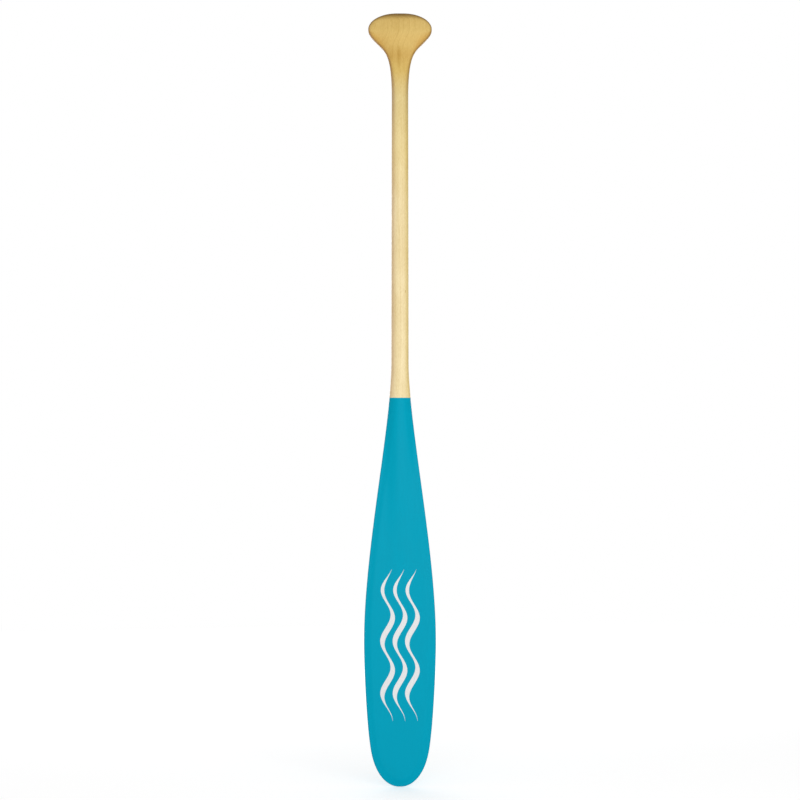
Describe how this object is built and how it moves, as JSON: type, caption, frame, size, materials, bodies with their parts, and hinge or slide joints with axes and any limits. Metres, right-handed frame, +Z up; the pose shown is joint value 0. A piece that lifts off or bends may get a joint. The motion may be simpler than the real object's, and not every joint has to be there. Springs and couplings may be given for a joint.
{
  "type": "boat paddle",
  "caption": "Single-bladed wooden boat paddle with a long, narrow round-nosed blade painted turquoise, a varnished oval shaft and a broad flared grip.",
  "frame": {"origin": "on the shaft's centre line just under the flare of the grip, where a rack's fork carries the hanging paddle", "axes": "+Z up along the shaft towards the end of the grip, with the tip of the blade at the bottom; X across the blade; -Y out of the blade's front face"},
  "size_m": [0.1276, 0.0286, 1.372],
  "materials": {
    "varnished_shaft": "clear satin varnish over pale straight-grained wood; turquoise satin paint on its stretch inside the blade",
    "painted_blade": "opaque turquoise satin paint over wood, with varnished wood above the paint line",
    "varnished_grip": "clear satin varnish over honey-coloured wood"
  },
  "bodies": {
    "root": {"shaft": "varnished_shaft", "blade_strip_left_inner": "painted_blade", "blade_strip_left_middle": "painted_blade", "blade_strip_left_outer": "painted_blade", "blade_strip_right_inner": "painted_blade", "blade_strip_right_middle": "painted_blade", "blade_strip_right_outer": "painted_blade", "grip_cheek_left": "varnished_grip", "grip_cheek_right": "varnished_grip"}
  },
  "joints": []
}
